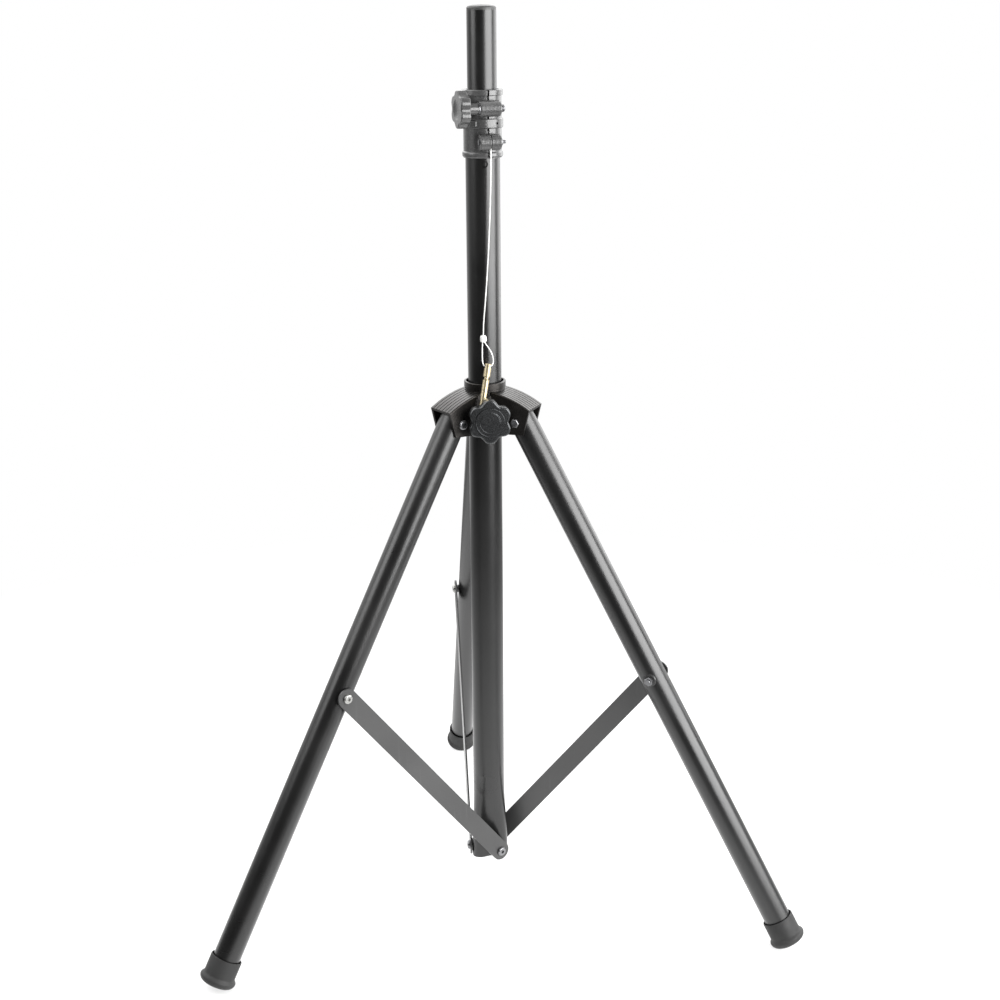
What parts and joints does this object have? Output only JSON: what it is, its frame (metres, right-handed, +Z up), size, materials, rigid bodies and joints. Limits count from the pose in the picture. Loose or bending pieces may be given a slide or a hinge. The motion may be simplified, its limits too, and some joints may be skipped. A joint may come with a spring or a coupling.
{
  "type": "speaker tripod stand",
  "caption": "Folding tripod stand with a telescoping pole for a loudspeaker, a sliding hub with braced legs, a height clamp and a locking pin on a lanyard.",
  "frame": {"origin": "on the floor, under the column's axis", "axes": "+Z up along the column, rear leg along +Y, hub knob towards -Y"},
  "size_m": [0.761, 0.6653, 1.155],
  "materials": {
    "powder_coat": "satin black powder coat",
    "brace_steel": "satin dark grey powder coat",
    "hub_plastic": "moulded, fine grain",
    "clamp_plastic": "moulded, fine grain",
    "knob_plastic": "moulded, satin",
    "cap_plastic": "moulded",
    "bush_nylon": "black nylon",
    "boot_rubber": "black rubber, slightly worn",
    "dark_zinc": "black zinc plated",
    "bright_zinc": "zinc plated",
    "yellow_zinc": "yellow zinc plated",
    "coated_wire": "clear coating over steel wire"
  },
  "bodies": {
    "base": {"main_tube": "powder_coat", "tube_end_plug": "cap_plastic", "lower_brace_bolts": "dark_zinc", "lower_brace_spacers": "bush_nylon", "height_clamp": "clamp_plastic", "clamp_liner": "bush_nylon", "clamp_lower_screw": "dark_zinc", "clamp_lower_nut": "dark_zinc", "clamp_nut": "dark_zinc", "lanyard_wire": "coated_wire"},
    "pole": {"inner_pole": "powder_coat", "pole_cap": "cap_plastic", "pole_guide_bush": "bush_nylon"},
    "clamp_washer": {"clamp_knob_washer": "dark_zinc"},
    "clamp_knob": {"clamp_knob": "clamp_plastic", "clamp_knob_bolt": "dark_zinc"},
    "hub": {"hub_body": "hub_plastic", "hub_bush": "bush_nylon", "leg_pivot_bolts": "dark_zinc", "leg_pivot_nuts": "dark_zinc", "lanyard_ferrule": "coated_wire", "lanyard_loop": "coated_wire", "locking_pin": "yellow_zinc"},
    "hub_pad": {"hub_pressure_pad": "bush_nylon"},
    "hub_knob": {"hub_knob": "knob_plastic", "hub_knob_cap": "knob_plastic", "hub_knob_stud": "dark_zinc"},
    "leg_left": {"leg_tube_left": "powder_coat", "leg_insert_left": "cap_plastic", "rubber_boot_left": "boot_rubber", "upper_bolt_shank_left": "dark_zinc", "upper_bolt_nut_left": "dark_zinc", "upper_bolt_spacer_left": "bush_nylon"},
    "brace_left": {"brace_left": "brace_steel", "upper_bolt_head_left": "bright_zinc"},
    "leg_right": {"leg_tube_right": "powder_coat", "leg_insert_right": "cap_plastic", "rubber_boot_right": "boot_rubber", "upper_bolt_shank_right": "dark_zinc", "upper_bolt_nut_right": "dark_zinc", "upper_bolt_spacer_right": "bush_nylon"},
    "brace_right": {"brace_right": "brace_steel", "upper_bolt_head_right": "bright_zinc"},
    "leg_rear": {"leg_tube_rear": "powder_coat", "leg_insert_rear": "cap_plastic", "rubber_boot_rear": "boot_rubber", "upper_bolt_shank_rear": "dark_zinc", "upper_bolt_nut_rear": "dark_zinc", "upper_bolt_spacer_rear": "bush_nylon"},
    "brace_rear": {"brace_rear": "brace_steel", "upper_bolt_head_rear": "bright_zinc"}
  },
  "joints": [
    {"name": "pole_slide", "type": "slide", "parent": "base", "child": "pole", "axis": [0, 0, 1], "range_m": [0, 0.64]},
    {"name": "hub_slide", "type": "slide", "parent": "base", "child": "hub", "axis": [0, 0, 1], "range_m": [0, 0.1232], "deforming": ["lanyard_wire"]},
    {"name": "leg_left_fold", "type": "hinge", "parent": "hub", "child": "leg_left", "pos_m": [-0.0433, -0.025, 0.662], "axis": [0.5, -0.866, 0], "range_deg": [0, 29.45]},
    {"name": "brace_left_fold", "type": "hinge", "parent": "base", "child": "brace_left", "pos_m": [0.0128, -0.02217, 0.057], "axis": [-0.5, 0.866, 0], "range_deg": [0, 30.7]},
    {"name": "leg_right_fold", "type": "hinge", "parent": "hub", "child": "leg_right", "pos_m": [0.0433, -0.025, 0.662], "axis": [0.5, 0.866, 0], "range_deg": [0, 29.45]},
    {"name": "brace_right_fold", "type": "hinge", "parent": "base", "child": "brace_right", "pos_m": [0.0128, 0.02217, 0.057], "axis": [-0.5, -0.866, 0], "range_deg": [0, 30.7]},
    {"name": "leg_rear_fold", "type": "hinge", "parent": "hub", "child": "leg_rear", "pos_m": [0, 0.05, 0.662], "axis": [-1, 0, 0], "range_deg": [0, 29.45]},
    {"name": "brace_rear_fold", "type": "hinge", "parent": "base", "child": "brace_rear", "pos_m": [-0.0256, 0, 0.057], "axis": [1, 0, 0], "range_deg": [0, 30.7]},
    {"name": "clamp_washer_slide", "type": "slide", "parent": "base", "child": "clamp_washer", "axis": [-0.9781, -0.2079, 0], "range_m": [0, 0.0025]},
    {"name": "clamp_knob_turn", "type": "hinge", "parent": "clamp_washer", "child": "clamp_knob", "pos_m": [0.00572, -0.0269, 1.0385], "axis": [-0.9781, -0.2079, 0], "range_deg": [0, 720.5]},
    {"name": "hub_pad_slide", "type": "slide", "parent": "hub", "child": "hub_pad", "axis": [0, -1, 0], "range_m": [0, 0.0025]},
    {"name": "hub_knob_turn", "type": "hinge", "parent": "hub_pad", "child": "hub_knob", "pos_m": [0, -0.03, 0.668], "axis": [0, -1, 0], "range_deg": [0, 720.5]}
  ],
  "couplings": [
    {"joint": "leg_left_fold", "follows": "hub_slide", "rad_per_m": 4.165},
    {"joint": "brace_left_fold", "follows": "hub_slide", "rad_per_m": 4.3417},
    {"joint": "leg_right_fold", "follows": "hub_slide", "rad_per_m": 4.165},
    {"joint": "brace_right_fold", "follows": "hub_slide", "rad_per_m": 4.3417},
    {"joint": "leg_rear_fold", "follows": "hub_slide", "rad_per_m": 4.165},
    {"joint": "brace_rear_fold", "follows": "hub_slide", "rad_per_m": 4.3417},
    {"joint": "clamp_knob_turn", "follows": "clamp_washer_slide", "rad_per_m": 5026.5},
    {"joint": "hub_knob_turn", "follows": "hub_pad_slide", "rad_per_m": 5026.5}
  ]
}
